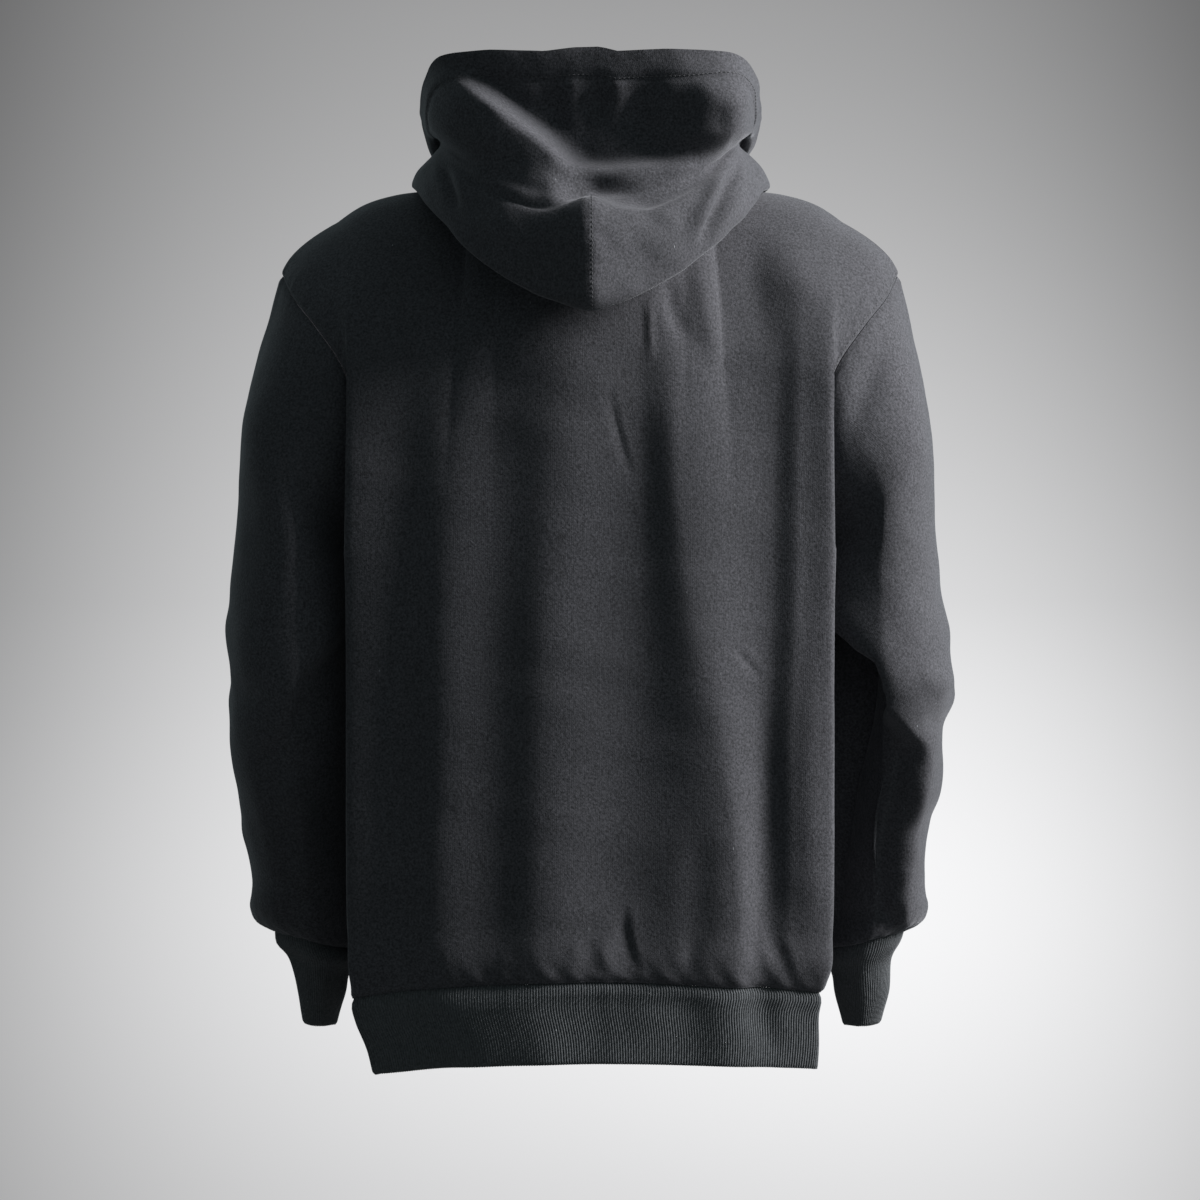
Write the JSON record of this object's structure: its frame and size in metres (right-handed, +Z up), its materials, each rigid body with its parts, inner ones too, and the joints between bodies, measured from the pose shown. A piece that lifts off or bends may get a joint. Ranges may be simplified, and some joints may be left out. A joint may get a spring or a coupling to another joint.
{
  "type": "pullover hoodie",
  "caption": "Pullover hoodie with drop shoulders, ribbed cuffs and hem, and its hood lying back round the neck, in the hollow form that it keeps when worn.",
  "frame": {"origin": "where the wearer's shoulders hold the hoodie: between the two neck points, on the line of the shoulder seams", "axes": "+Z up along the body, -Y towards the wearer's front, +X towards the wearer's left"},
  "size_m": [0.5935, 0.3109, 0.8215],
  "materials": {
    "fleece": "black brushed sweatshirt fleece, matt, with a soft nap",
    "rib": "black rib knit, matt"
  },
  "bodies": {
    "root": {"back_panel": "fleece", "front_panel": "fleece", "sleeve_left": "fleece", "sleeve_right": "fleece", "cuff_left": "rib", "cuff_right": "rib", "hem_band": "rib", "hood_left": "fleece", "hood_right": "fleece"}
  },
  "joints": []
}
